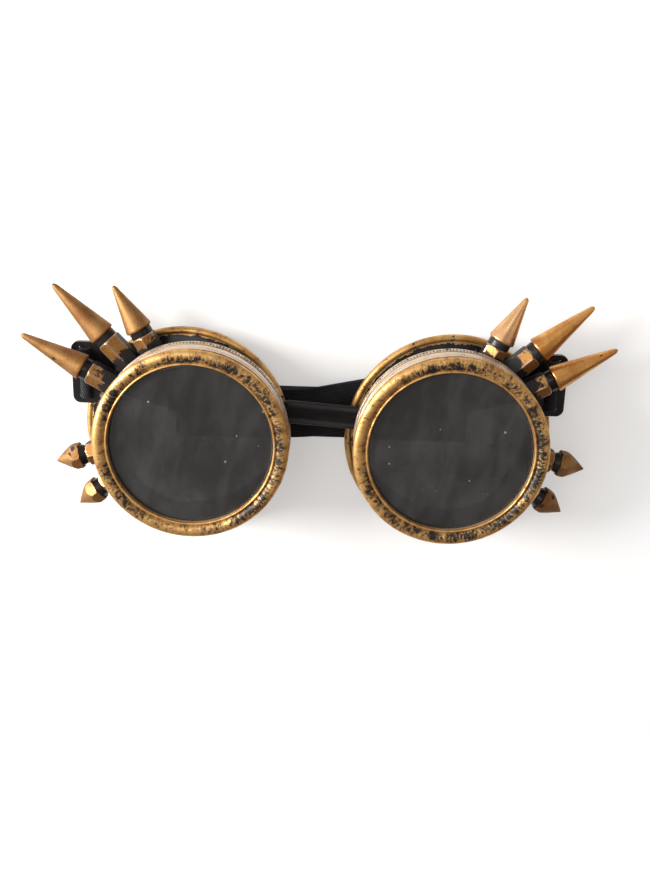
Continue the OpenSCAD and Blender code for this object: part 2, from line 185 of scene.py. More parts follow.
# wear along edges, from how far a rounded normal leaves the true one
def makeEdgeWear():
    g, i, o = startGroup("edgeWear", [("Radius", "Float", 0.0005), ("Gain", "Float", 3.0)],
                         [("Mask", "Float")])
    rounded = addNode(g, "Bevel", {"Radius": i["Radius"]}, samples=6).outputs[0]
    true = addNode(g, "NewGeometry").outputs["Normal"]
    match = addNode(g, "VectorMath", {0: rounded, 1: true}, operation="DOT_PRODUCT")
    away = minus(g, 1.0, match.outputs["Value"])
    g.links.new(times(g, away, i["Gain"], clamp=True), o["Mask"])
    return g


# moulded surface: a fine grain under broad, weak unevenness
def makeMoulded():
    g, i, o = startGroup("mouldedSkin", [("Vector", "Vector", None), ("Scale", "Float", 1500.0)],
                         [("Height", "Float"), ("Mottle", "Float")])
    fine = noise(g, i["Vector"], i["Scale"], 4, 0.6)
    broad = noise(g, i["Vector"], times(g, i["Scale"], 0.08), 3, 0.5)
    g.links.new(weighted(g, (fine, 0.5), (broad, 0.8)), o["Height"])
    g.links.new(ramp(g, broad, 0.35, 0.65), o["Mottle"])
    return g


# woven elastic: cords along its length, crossed by picks that pass over every other cord
def makeWeave():
    g, i, o = startGroup("elasticWeave", [
        ("Along", "Float", 0.0), ("Across", "Float", 0.0),
        ("Cord", "Float", 0.0009), ("Pick", "Float", 0.0007)],
        [("Height", "Float"), ("Thread", "Float")])
    cord = maths(g, "DIVIDE", i["Across"], i["Cord"])
    pick = maths(g, "DIVIDE", i["Along"], i["Pick"])
    # 400 cords are added so that the count stays above zero
    odd = maths(g, "MODULO", maths(g, "FLOOR", plus(g, cord, 400.0)), 2.0)
    shifted = plus(g, pick, times(g, odd, 0.5))
    cordHump = maths(g, "ABSOLUTE", maths(g, "SINE", times(g, cord, math.pi)))
    pickHump = maths(g, "ABSOLUTE", maths(g, "SINE", times(g, shifted, math.pi)))
    both = times(g, maths(g, "POWER", cordHump, 0.6), maths(g, "POWER", pickHump, 0.7))
    g.links.new(both, o["Height"])
    g.links.new(ramp(g, both, 0.15, 0.9), o["Thread"])
    return g


# small ragged specks: dust on the lenses, nicks in the paint
def makeDust():
    g, i, o = startGroup("dustSpecks", [
        ("Vector", "Vector", None), ("Scale", "Float", 220.0), ("Size", "Float", 0.05)],
        [("Mask", "Float")])
    cells = addNode(g, "TexVoronoi", {"Vector": i["Vector"], "Scale": i["Scale"]})
    size = times(g, noise(g, i["Vector"], times(g, i["Scale"], 0.35), 1), i["Size"])
    fringe = minus(g, noise(g, i["Vector"], times(g, i["Scale"], 9.0), 3), 0.5)
    reach = plus(g, size, times(g, fringe, i["Size"]))
    inside = minus(g, reach, cells.outputs["Distance"])
    g.links.new(times(g, inside, 60.0, clamp=True), o["Mask"])
    return g


dryBrush, edgeWear, mouldedSkin = makeDryBrush(), makeEdgeWear(), makeMoulded()
elasticWeave, dustSpecks = makeWeave(), makeDust()


def startMaterial(name):
    mat = bpy.data.materials.new(name)
    mat.use_nodes = True
    tree = mat.node_tree
    tree.nodes.clear()
    shader = addNode(tree, "BsdfPrincipled")
    out = addNode(tree, "OutputMaterial")
    tree.links.new(shader.outputs[0], out.inputs[0])
    return mat, tree, shader


def attribute(tree, name, output="Fac"):
    return addNode(tree, "Attribute", attribute_name=name).outputs[output]


def stretched(tree, vector, scale):
    return addNode(tree, "Mapping", {0: vector, 3: scale}).outputs[0]


def objectPlace(tree):
    return addNode(tree, "TexCoord").outputs["Object"]


def bump(tree, height, strength, distance):
    made = addNode(tree, "Bump", {"Height": height, "Strength": strength, "Distance": distance})
    return made.outputs[0]


bronzeFinish = {
    "mid": (0.38, 0.185, 0.055, 1),
    "pale": (0.63, 0.38, 0.140, 1),
    "chalkAndHighlight": (0.56, 0.49, 0.42, 1),      # pale cream: on the ring's bands and grip, and as painted highlight on the opening's wall, the posts' edges and one cone
    "under": (0.009, 0.008, 0.008, 1),   # the black plastic that shows through
}


# bronze over black; rub says where the brush reached, and the pale share where it turns pale cream, partly
# as painted highlight
def bronzeOverBlack(name, tint, fleck=900.0, patch=300.0, stroke=(1, 1, 0.4), gain=12.0,
                    roughness=(0.36, 0.52), metal=0.86, pits=0.0):
    mat, tree, shader = startMaterial(name)
    where = stretched(tree, attribute(tree, "brush", "Vector"), stroke)
    brush = useGroup(tree, dryBrush, {
        "Vector": where, "Rub": attribute(tree, "rub"),
        "Fleck Scale": fleck, "Patch Scale": patch, "Gain": gain})
    gold = mixColours(tree, brush["Tone"], tint["mid"], tint["pale"])
    streak = ramp(tree, noise(tree, stretched(tree, where, (0.5, 0.5, 7)), 330.0, 5, 0.65), 0.36, 0.58)
    paleAndHighlightShare = times(tree, attribute(tree, "chalkAndHighlight"), mixNumbers(tree, streak, 0.45, 0.95))
    gold = mixColours(tree, paleAndHighlightShare, gold, tint["chalkAndHighlight"])
    mask = brush["Mask"]
    if pits:
        nicks = useGroup(tree, dustSpecks, {"Vector": where, "Scale": 290.0, "Size": pits})["Mask"]
        mask = times(tree, mask, minus(tree, 1.0, nicks))
    worn = mixNumbers(tree, brush["Tone"], roughness[1], roughness[0])
    setInputs(tree, shader, {
        "Base Color": mixColours(tree, mask, tint["under"], gold),
        "Metallic": times(tree, mask, metal),
        "Specular IOR Level": 0.25,
        "Roughness": mixNumbers(tree, brush["Mask"], 0.42, worn),
        "Normal": bump(tree, brush["Height"], 0.35, 0.00012)})
    return mat


def tinted(base, factor):
    made = {k: tuple(c * f for c, f in zip(v[:3], factor)) + (1,) for k, v in base.items()}
    made["under"] = base["under"]
    return made


# the left spikes' bronze is darker, rougher and less metallic as painted shade, and the right ones' is
# brighter and glossier as painted light, for a lamp on the left
spikeSideLight = {
    "left": {"tint": (0.47, 0.41, 0.40), "roughness": (0.48, 0.60), "metal": 0.64},
    "right": {"tint": (1.12, 0.96, 0.82), "roughness": (0.22, 0.37), "metal": 0.90},
}
bezelBronze = bronzeOverBlack("bezelBronze", bronzeFinish, fleck=1200.0, patch=290.0,
                              stroke=(1, 1, 0.6), gain=10.0)
spikeBronze = {}
for side, f in spikeSideLight.items():
    spikeBronze[side] = bronzeOverBlack(
        "spikeBronze_" + side, tinted(bronzeFinish, f["tint"]), fleck=700.0, patch=240.0,
        stroke=(1, 1, 0.7), roughness=f["roughness"], metal=f["metal"], pits=0.29)
postBronze = bronzeOverBlack("postBronze", tinted(bronzeFinish, (0.66, 0.56, 0.50)), fleck=520.0,
                             patch=210.0, stroke=(1, 1, 1), gain=18.0, roughness=(0.28, 0.42))
threadBronze = bronzeOverBlack("threadBronze", tinted(bronzeFinish, (0.8, 0.8, 0.8)))


def makeCollarBlack():
    mat, tree, shader = startMaterial("collarBlack")
    skin = useGroup(tree, mouldedSkin, {"Vector": attribute(tree, "brush", "Vector"), "Scale": 1800.0})
    wear = useGroup(tree, edgeWear, {"Radius": 0.00035, "Gain": 4.0})["Mask"]
    dark = mixColours(tree, skin["Mottle"], (0.006, 0.005, 0.005, 1), (0.014, 0.012, 0.012, 1))
    setInputs(tree, shader, {
        "Base Color": mixColours(tree, wear, dark, (0.13, 0.10, 0.075, 1)),
        "Roughness": mixNumbers(tree, skin["Mottle"], 0.18, 0.30),
        "Specular IOR Level": 0.24,
        "Normal": bump(tree, skin["Height"], 0.25, 0.00008)})
    return mat


# black shell with bronze on the rolled rim and a thin rub on the barrel
cupFinish = {
    # the circle along the middle of the rolled rim, in mm and degrees
    "rimRadius": 32.3, "rimHeight": 6.3, "tilt": 5.7, "drop": 2.4, "out": {"left": 3.8, "right": 1.4},
    # distances over which the paint fades, from the rim's circle and from its axis
    "rimFade": (1.95, 1.45), "barrelIn": (25.6, 27.0), "barrelOut": (31.0, 29.0), "outerSide": (11, 23),
    "chips": 3.0,
    "black": (0.008, 0.007, 0.008, 1), "mottled": (0.014, 0.013, 0.013, 1),
    "worn": (0.040, 0.037, 0.036, 1), "rubbed": (0.36, 0.30, 0.25, 1),
}


def fadeOver(tree, value, limits):
    return ramp(tree, value, limits[0] * mm, limits[1] * mm)


def makeCupShell(side, c):
    mat, tree, shader = startMaterial("cupShell_" + side)
    s = sides[side]
    place = objectPlace(tree)
    centre = (s * (halfSpacing + c["out"][side]) * mm, -c["drop"] * mm, c["rimHeight"] * mm)
    turned = addNode(tree, "VectorRotate", {
        "Vector": place, "Center": centre, "Axis": (0, 1, 0), "Angle": -s * math.radians(c["tilt"])})
    local = addNode(tree, "VectorMath", {0: turned.outputs[0], 1: centre}, operation="SUBTRACT")
    x, y, z = addNode(tree, "SeparateXYZ", {0: local.outputs[0]}).outputs
    flat = lengthOf(tree, x, y)
    ring = lengthOf(tree, minus(tree, flat, c["rimRadius"] * mm), z)
    chipped = times(tree, minus(tree, noise(tree, place, 330.0, 5, 0.7), 0.5), c["chips"] * mm)
    onRim = fadeOver(tree, plus(tree, ring, chipped), c["rimFade"])
    onBarrel = times(tree, fadeOver(tree, flat, c["barrelIn"]), fadeOver(tree, flat, c["barrelOut"]))
    # the rub is on walls that face out or up
    normal = addNode(tree, "TexCoord").outputs["Normal"]
    facing = addNode(tree, "SeparateXYZ", {0: normal}).outputs
    sideways = plus(tree, times(tree, facing[0], maths(tree, "DIVIDE", x, flat)),
                    times(tree, facing[1], maths(tree, "DIVIDE", y, flat)))
    outside = ramp(tree, maths(tree, "MAXIMUM", sideways, facing[2]), 0.02, 0.2)
    outward = mixNumbers(tree, fadeOver(tree, times(tree, x, s), c["outerSide"]), 0.16, 0.56)
    edges = useGroup(tree, edgeWear, {"Radius": 0.0005, "Gain": 3.0})["Mask"]
    thin = times(tree, times(tree, onBarrel, outside), plus(tree, times(tree, edges, 0.2), outward))
    brush = useGroup(tree, dryBrush, {
        "Vector": place, "Rub": maths(tree, "MAXIMUM", times(tree, onRim, 0.72), thin),
        "Fleck Scale": 1000.0, "Patch Scale": 200.0, "Gain": 14.0})
    skin = useGroup(tree, mouldedSkin, {"Vector": place, "Scale": 1400.0})
    black = mixColours(tree, skin["Mottle"], c["black"], c["mottled"])
    black = mixColours(tree, times(tree, edges, 0.4), black, c["worn"])
    gold = mixColours(tree, brush["Tone"], bronzeFinish["mid"], bronzeFinish["pale"])
    paint = mixColours(tree, onRim, c["rubbed"], gold)
    gloss = mixNumbers(tree, skin["Mottle"], 0.16, 0.28)
    height = weighted(tree, (brush["Height"], 0.6), (skin["Height"], 0.4))
    setInputs(tree, shader, {
        "Base Color": mixColours(tree, brush["Mask"], black, paint),
        "Metallic": times(tree, brush["Mask"], 0.9),
        "Roughness": mixNumbers(tree, brush["Mask"], gloss, 0.42),
        "Specular IOR Level": 0.26,
        "Normal": bump(tree, height, 0.3, 0.0001)})
    return mat


def makeSmokeLens():
    mat, tree, shader = startMaterial("smokeLens")
    place = addNode(tree, "Mapping", {0: objectPlace(tree), 2: (0.3, 0.2, 0.2)}).outputs[0]
    dust = useGroup(tree, dustSpecks, {"Vector": place, "Scale": 150.0, "Size": 0.10})["Mask"]
    cloud = noise(tree, place, 45.0, 4, 0.6, 0.5)
    wiped = noise(tree, stretched(tree, place, (1, 0.2, 1)), 150.0, 4, 0.55, 0.9)
    film = ramp(tree, weighted(tree, (cloud, 0.5), (wiped, 0.5)), 0.38, 0.64)
    smoke = mixColours(tree, film, (0.033, 0.031, 0.031, 1), (0.078, 0.077, 0.077, 1))
    setInputs(tree, shader, {
        "Base Color": mixColours(tree, dust, smoke, (0.55, 0.54, 0.5, 1)),
        "Roughness": plus(tree, mixNumbers(tree, film, 0.02, 0.07), times(tree, dust, 0.5)),
        "Normal": bump(tree, noise(tree, place, 34.0, 2, 0.4), 0.06, 0.0006),
        "Transmission Weight": 0.72,
        "IOR": 1.56})
    return mat


def makeClearLens():
    mat, tree, shader = startMaterial("clearLens")
    dust = useGroup(tree, dustSpecks, {"Vector": objectPlace(tree), "Scale": 300.0, "Size": 0.12})["Mask"]
    setInputs(tree, shader, {
        "Base Color": mixColours(tree, dust, (0.93, 0.96, 0.96, 1), (0.6, 0.6, 0.58, 1)),
        "Roughness": plus(tree, times(tree, dust, 0.5), 0.02),
        "Transmission Weight": 1.0,
        "IOR": 1.49})
    return mat


def makeGasket():
    mat, tree, shader = startMaterial("gasketRubber")
    skin = useGroup(tree, mouldedSkin, {"Vector": objectPlace(tree), "Scale": 2200.0})
    setInputs(tree, shader, {
        "Base Color": mixColours(tree, skin["Mottle"], (0.008, 0.008, 0.009, 1), (0.022, 0.021, 0.021, 1)),
        "Roughness": mixNumbers(tree, skin["Mottle"], 0.55, 0.75),
        "Normal": bump(tree, skin["Height"], 0.3, 0.0001)})
    return mat


def makeScrewSteel():
    mat, tree, shader = startMaterial("screwSteel")
    where = attribute(tree, "brush", "Vector")
    turning = noise(tree, stretched(tree, where, (0.2, 0.2, 6.0)), 2400.0, 3, 0.6)
    tarnish = ramp(tree, noise(tree, where, 420.0, 5, 0.6), 0.42, 0.7)
    setInputs(tree, shader, {
        "Base Color": mixColours(tree, tarnish, (0.56, 0.55, 0.53, 1), (0.20, 0.16, 0.13, 1)),
        "Roughness": mixNumbers(tree, tarnish, 0.24, 0.55),
        "Normal": bump(tree, turning, 0.2, 0.00005),
        "Metallic": 1.0})
    return mat


def makeBridgeRubber():
    mat, tree, shader = startMaterial("bridgeRubber")
    where = attribute(tree, "brush", "Vector")
    skin = useGroup(tree, mouldedSkin, {"Vector": where, "Scale": 1500.0})
    scuff = ramp(tree, noise(tree, stretched(tree, where, (0.25, 1, 1)), 900.0, 6, 0.7), 0.56, 0.74)
    # the bead crests turn lighter grey, a painted highlight along the strip's edges
    crestHighlight = times(tree, attribute(tree, "rub"), 0.7)
    dark = mixColours(tree, skin["Mottle"], (0.007, 0.007, 0.008, 1), (0.014, 0.014, 0.015, 1))
    dark = mixColours(tree, crestHighlight, dark, (0.060, 0.060, 0.062, 1))
    height = plus(tree, skin["Height"], times(tree, scuff, 0.4))
    setInputs(tree, shader, {
        "Base Color": mixColours(tree, times(tree, scuff, 0.35), dark, (0.06, 0.058, 0.056, 1)),
        "Roughness": mixNumbers(tree, skin["Mottle"], 0.36, 0.50),
        "Specular IOR Level": 0.12,
        "Normal": bump(tree, height, 0.3, 0.0001)})
    return mat


def makeStrapElastic():
    mat, tree, shader = startMaterial("strapElastic")
    weave = useGroup(tree, elasticWeave, {
        "Along": attribute(tree, "along"), "Across": attribute(tree, "across"),
        "Cord": 0.00092, "Pick": 0.00062})
    where = attribute(tree, "brush", "Vector")
    lint = ramp(tree, noise(tree, where, 2600.0, 3, 0.7), 0.60, 0.78)
    shade = ramp(tree, noise(tree, where, 90.0, 3, 0.5), 0.35, 0.65)
    # the hollows between threads are much darker than the thread tops, painted shade in the weave
    yarn = mixColours(tree, weave["Thread"], (0.002, 0.002, 0.003, 1), (0.019, 0.019, 0.023, 1))
    yarn = mixColours(tree, times(tree, shade, 0.4), yarn, (0.027, 0.027, 0.032, 1))
    setInputs(tree, shader, {
        "Base Color": mixColours(tree, times(tree, lint, 0.3), yarn, (0.10, 0.10, 0.11, 1)),
        "Roughness": mixNumbers(tree, weave["Thread"], 0.85, 0.6),
        "Normal": bump(tree, weave["Height"], 0.8, 0.00022),
        "Specular IOR Level": 0.15,
        "Sheen Weight": 0.08,
        "Sheen Roughness": 0.4})
    return mat


collarBlack, screwSteel = makeCollarBlack(), makeScrewSteel()
smokeLens, clearLens, gasketRubber = makeSmokeLens(), makeClearLens(), makeGasket()
bridgeRubber, strapElastic = makeBridgeRubber(), makeStrapElastic()
cupShell = {side: makeCupShell(side, cupFinish) for side in sides}
print("materials made")


# A shape is points (mm), faces and values at the points: rub, a pale share that is partly painted
# highlight, brush, and for the elastic along and across. A corner is (x, y, rub) and, where it is rounded,
# a radius
def rounded(corners, steps=3):
    line = []
    for k, corner in enumerate(corners):
        p = np.array(corner[:2], float)
        before = np.array(corners[k - 1][:2], float) - p
        after = np.array(corners[(k + 1) % len(corners)][:2], float) - p
        lengths = np.linalg.norm(before), np.linalg.norm(after)
        r = min(corner[3], 0.45 * lengths[0], 0.45 * lengths[1]) if len(corner) > 3 else 0
        if r <= 1e-6:
            line.append((p[0], p[1], corner[2]))
            continue
        a, b = p + before / lengths[0] * r, p + after / lengths[1] * r
        for t in np.linspace(0, 1, steps + 1):
            q = (1 - t) ** 2 * a + 2 * t * (1 - t) * p + t ** 2 * b
            line.append((q[0], q[1], corner[2]))
    return line


def divided(line, longest, closed=True):
    made = []
    for k in range(len(line) if closed else len(line) - 1):
        a, b = np.array(line[k]), np.array(line[(k + 1) % len(line)])
        n = max(1, math.ceil(np.linalg.norm(b[:2] - a[:2]) / longest))
        made += [tuple(a + (b - a) * j / n) for j in range(n)]
    return made if closed else made + [tuple(line[-1])]


def arc(centre, radius, start, end, rub, steps, squash=1.0):
    return [(centre[0] + radius * math.cos(a), centre[1] + radius * squash * math.sin(a), rub)
            for a in np.radians(np.linspace(start, end, steps))]


def grid(points, values, closedRows, closedColumns):
    rows, columns = points.shape[:2]
    faces = []
    for i in range(rows if closedRows else rows - 1):
        for j in range(columns if closedColumns else columns - 1):
            a, b = i * columns + j, i * columns + (j + 1) % columns
            c, d = (i + 1) % rows * columns + (j + 1) % columns, (i + 1) % rows * columns + j
            faces.append((a, b, c, d))
    return {"points": points.reshape(-1, 3), "faces": faces,
            "values": {k: v.reshape(rows * columns, -1) for k, v in values.items()}}


# a swept form: one row of points after the other, with a face over each end
def swept(points, values):
    rows, columns = points.shape[:2]
    shape, last = grid(points, values, False, True), (rows - 1) * columns
    shape["faces"] += [tuple(range(columns)), tuple(range(last, last + columns))]
    return shape


# Turns a closed profile of (radius, height, rub) round Z; cut limits the radius, shift moves the points,
# and seed moves the noise
def turnedShape(profile, steps, cut=None, shift=None, seed=0.0, chalkAndHighlight=None):
    line = np.array(profile, float)
    theta = np.arange(steps) * 2 * math.pi / steps
    r, z, rub = (np.repeat(line[:, k:k + 1], steps, 1) for k in range(3))
    angle = np.repeat(theta[None, :], len(line), 0)
    if cut is not None:
        r = np.minimum(r, cut(angle))
    if shift is not None:
        r, z, rub = shift(angle, r, z, rub)
    around = float(np.median(line[:, 0]))
    along = np.concatenate([[0], np.cumsum(np.linalg.norm(np.diff(line[:, :2], axis=0), axis=1))])
    down = np.repeat(along[:, None], steps, 1)
    brush = np.stack([around * np.cos(angle), around * np.sin(angle), down], -1)
    points = np.stack([r * np.cos(angle), r * np.sin(angle), z], -1)
    pale = np.zeros_like(rub) if chalkAndHighlight is None else chalkAndHighlight(r, z)
    values = {"rub": rub, "chalkAndHighlight": pale, "brush": brush * mm + seed}
    return grid(points, values, True, True)


def moved(shape, matrix):
    m = np.array(matrix, float)
    return {**shape, "points": shape["points"] @ m[:3, :3].T + m[:3, 3]}


def joined(shapes):
    faces, start = [], 0
    for s in shapes:
        faces += [tuple(i + start for i in f) for f in s["faces"]]
        start += len(s["points"])
    values = {k: np.concatenate([s["values"][k] for s in shapes]) for k in shapes[0]["values"]}
    return {"points": np.concatenate([s["points"] for s in shapes]), "faces": faces, "values": values}


def makePiece(name, shape, material, sharp=35):
    mesh = bpy.data.meshes.new(name)
    mesh.from_pydata((shape["points"] * mm).tolist(), [], shape["faces"])
    for label, value in shape["values"].items():
        vector = value.shape[1] == 3
        made = mesh.attributes.new(label, "FLOAT_VECTOR" if vector else "FLOAT", "POINT")
        made.data.foreach_set("vector" if vector else "value", value.astype(np.float32).ravel())
    bm = bmesh.new()
    bm.from_mesh(mesh)
    bmesh.ops.recalc_face_normals(bm, faces=bm.faces)
    bm.to_mesh(mesh)
    bm.free()
    mesh.shade_smooth()
    mesh.set_sharp_from_angle(angle=math.radians(sharp))
    mesh.materials.append(material)
    obj = bpy.data.objects.new(name, mesh)
    scene.collection.objects.link(obj)
    return obj


# the lens axis of one cup
def cupAxis(side):
    return Matrix.Translation((sides[side] * halfSpacing, 0, 0))


def settle(obj, body, slot, *replaced):
    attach(obj, body)
    if replaced:
        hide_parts(*replaced)


# bezel rings
bezel = {
    "bottom": 18.0, "gripTop": 21.0, "bandLow": 22.2, "bandHigh": 27.2, "beadLow": 27.9,
    "split": (25.4, 25.85), "splitIn": 29.05, "bore": 28.0, "band": 29.5, "groove": 28.9,
    "teeth": 180, "toothDepth": 0.35, "samplesPerTooth": 3,
    "beadFoot": (29.3, 28.95), "beadCentre": (27.9, 30.1), "beadRadius": 1.9, "beadSquash": 0.79,
    "beadArc": (-36, 158), "valley": 30.66, "valleyRadii": (26.05, 25.9),
    "lipCentre": (25.46, 30.62), "lipRadius": 0.38, "lipArc": (25, 168),
    "opening": 25.0, "openingTop": 30.2, "lipUnder": 29.0, "pocket": 26.8, "shoulder": 25.8,
    "threadPitch": 3.5, "threadDepth": 0.55, "threadTop": 25.2, "patinaFrom": 25.8,
    # where patina lies in the front valley: direction in degrees, half width, strength
    "patina": {
        "left": [(95, 46, 0.24), (150, 14, 0.26), (35, 26, 0.18), (0, 20, 0.16), (-45, 34, 0.22),
                 (212, 24, 0.23), (250, 20, 0.10)],
        "right": [(100, 22, 0.26), (45, 38, 0.20), (0, 30, 0.20), (-48, 44, 0.22), (-110, 40, 0.18),
                  (200, 24, 0.14)],
    },
}


def threadRidge(angle, z, pitch, phase):
    turn = np.mod(z / pitch - angle / (2 * math.pi) + phase, 1.0)
    return np.clip(1.6 - np.abs(turn - 0.5) * 6.4, 0, 1)


# one between the two limits, falling to nothing at them over the soft lengths
def between(place, low, high, soft):
    return np.clip((place - low) / soft[0], 0, 1) * np.clip((high - place) / soft[1], 0, 1)


def bezelProfile(b):
    band, groove, foot = b["band"], b["groove"], b["beadFoot"]
    low, high = b["split"]
    side = rounded([
        (b["bore"], b["bottom"], 0.35, 0.2), (band, b["bottom"], 0.75, 0.2),
        (band, b["gripTop"], 0.75, 0.15), (groove, b["gripTop"], 0.12, 0.1),
        (groove, b["bandLow"], 0.12, 0.1), (band, b["bandLow"], 0.74, 0.2), (band, low, 0.74, 0.12),
        (b["splitIn"], low, 0.1, 0.08), (b["splitIn"], high, 0.1, 0.08), (band, high, 0.78, 0.12),
        (band, b["bandHigh"], 0.78, 0.2), (groove, b["bandHigh"], 0.06, 0.1),
        (groove, b["beadLow"], 0.06, 0.1), (foot[0], b["beadLow"], 0.7, 0.12), (*foot, 0.8, 0.1)])
    bead = arc(b["beadCentre"], b["beadRadius"], *b["beadArc"], 0.68, 26, b["beadSquash"])
    valley = [(r, b["valley"], 0.62) for r in b["valleyRadii"]]
    lip = arc(b["lipCentre"], b["lipRadius"], *b["lipArc"], 0.68, 9)
    # the opening's wall carries bronze, a painted highlight on the inner wall that faces the lamp
    inside = rounded([
        (b["opening"], b["openingTop"], 0.8, 0.2), (b["opening"], b["lipUnder"], 0.6, 0.15),
        (b["pocket"], b["lipUnder"], 0.0, 0.1), (b["pocket"], b["shoulder"], 0.0, 0.1),
        (b["bore"], b["shoulder"], 0.0, 0.1)])
    # the grip band ends with the third corner, and each corner is four points
    grip = 12
    return (divided(side[:grip], 0.7, closed=False) + side[grip:] + bead + valley + lip
            + divided(inside + side[:1], 0.4, closed=False)[:-1])


def bezelShift(side, b):
    def shift(angle, r, z, rub):
        wave = np.abs(np.mod(angle * b["teeth"] / (2 * math.pi), 1.0) * 2 - 1)
        grip = between(z, b["bottom"] + 0.1, b["gripTop"] - 0.1, (0.25, 0.25)) * (r > b["band"] - 0.3)
        r = r - grip * wave * b["toothDepth"]
        rub = rub - grip * wave * 0.5
        inThread = (r < b["bore"] + 0.02) & (r > b["pocket"] + 0.5) & (z < b["threadTop"])
        fade = between(z, b["bottom"] + 0.6, b["threadTop"], (0.8, 0.5))
        r = r - inThread * fade * threadRidge(angle, z, b["threadPitch"], 0.5) * b["threadDepth"]
        inValley = between(r, b["patinaFrom"], b["band"], (0.3, 1.7)) * (z > b["beadCentre"][1])
        rub = rub - inValley * 0.07
        for direction, width, strength in b["patina"][side]:
            off = (np.degrees(angle) - direction + 180) % 360 - 180
            rub = rub - inValley * strength * np.exp(-(off / width) ** 2)
        return r, z, rub
    return shift


def makeBezel(side, b):
    # the bands and grip turn pale; the opening's wall turns pale too, a painted highlight on the lit inner
    # wall
    def chalkAndHighlight(r, z):
        onBands = (r > b["groove"] + 0.09) * (z > b["bandLow"]) * (z < b["bandHigh"])
        onGrip = (r > b["groove"] - 0.2) * (z < b["gripTop"])
        wallHighlight = (np.abs(r - b["opening"]) < 0.03) * (z > b["lipUnder"] - 0.1) * (z < b["openingTop"] + 0.1)
        return onBands * 0.9 + onGrip * 0.8 + wallHighlight * 0.8

    shape = turnedShape(bezelProfile(b), b["teeth"] * b["samplesPerTooth"], shift=bezelShift(side, b),
                        seed=0.1 * (side == "left"), chalkAndHighlight=chalkAndHighlight)
    ring = makePiece("bezelRing_" + side, moved(shape, cupAxis(side)), bezelBronze)
    settle(ring, side + "_ring", "ring_bronze", "bezel_ring_" + side)


# the neck's thread, which shows when a ring is unscrewed
neck = {"inner": 26.9, "outer": 27.25, "low": 18.4, "top": 25.2}


def makeNeckThread(side, n, b):
    corners = [(n[wall], n[end], 0.1, 0.05) for wall, end in (
        ("inner", "low"), ("outer", "low"), ("outer", "top"), ("inner", "top"))]

    def shift(angle, r, z, rub):
        fade = between(z, n["low"] + 0.2, n["top"] - 0.1, (0.8, 0.5))
        ridge = (r > n["outer"] - 0.05) * fade * threadRidge(angle, z, b["threadPitch"], 0.0)
        return r + ridge * b["threadDepth"], z, rub + ridge * 0.35

    shape = turnedShape(divided(rounded(corners), 0.28), 144, shift=shift)
    thread = makePiece("neckThread_" + side, moved(shape, cupAxis(side)), threadBronze)
    settle(thread, side + "_cup", "cup_shell")


# smoke lens with its stepped front
lens = {"edge": 26.4, "low": 27.65, "step": 28.95, "top": 29.45, "face": 24.8}


def makeLens(side, d):
    face = d["face"]
    profile = [(r, d["low"], 0) for r in np.linspace(0.02, d["edge"] - 0.1, 8)] + rounded([
        (d["edge"], d["low"], 0, 0.1), (d["edge"], d["step"], 0, 0.1), (face, d["step"], 0),
        (face, d["step"] + 0.25, 0, 0.1), (face - 0.25, d["top"], 0, 0.1)])
    profile += [(r, d["top"], 0) for r in np.linspace(face - 0.6, 0.02, 8)]
    glass = makePiece("smokeLens_" + side, moved(turnedShape(profile, 160), cupAxis(side)), smokeLens)
    settle(glass, side + "_lenses", "smoke_lens", "tinted_lens_" + side)


for side in sides:
    makeBezel(side, bezel)
    makeNeckThread(side, neck, bezel)
    makeLens(side, lens)
print("bezel rings and lenses turned")


# spikes on their posts; lists run long, long, medium, short, short
spikes = {
    "seat": 27.1, "height": 13.0,   # of the posts' feet, from the lens axis and above the table
    "angles": {"left": (28, 45.2, 61.2, -15.4, -31.5), "right": (32, 49, 64.6, -12.6, -32.7)},
    "leans": {"left": (0, 1, -1.2, 0, -8), "right": (-4, -7.5, -2, 0, 0)},
    "posts": {"left": (10.7, 11.9, 6.7, 9, 9), "right": (8.5, 9.8, 5.3, 8, 8.4)},
    "postFlats": 7.0, "bore": 2.05, "collar": 3.5, "collarHeight": 2.2, "collarNeck": 2.7,
    "coneBase": 4.2, "coneLengths": (21.2, 21.2, 15.2), "shortFlats": 7.5, "shortLength": 8.6,
    # the medium right cone turns pale all over, a painted highlight for its lit side
    "pale": {"left": (0, 0, 0), "right": (0, 0, 0.4)},
    "headDepth": 2.35, "headRadius": 2.88, "screw": 2.0, "inCone": 5.0, "inShort": 3.6,
    # the direction in plan of each post's side that is painted black, painted shade
    "shaded": {"left": ((0.5, 0.9), (0.8, -0.3), (0.9, -0.3), (0.2, -0.9), (0.2, -0.9)),
               "right": ((-0.5, 0.9), (-0.8, 0.5), (0.6, 0.5), (0.2, -0.9), (0.2, -0.9))},
}


def spikePlace(side, k, s):
    turn = s["angles"][side][k] if side == "right" else 180 - s["angles"][side][k]
    lean = s["leans"][side][k] * sides[side]
    return (cupAxis(side) @ Matrix.Rotation(math.radians(turn), 4, "Z")
            @ Matrix.Translation((s["seat"], 0, s["height"])) @ Matrix.Rotation(math.radians(lean), 4, "Z")
            @ Matrix.Rotation(math.pi / 2, 4, "Y"))


# a hexagon across its flats; the higher the sharpness, the crisper its corners
def hexRadius(flats, sharpness):
    def radius(angle):
        total = sum(np.maximum(np.cos(angle - math.radians(30 + 60 * k)), 0) ** sharpness for k in range(6))
        return flats / 2 * total ** (-1 / sharpness)
    return radius


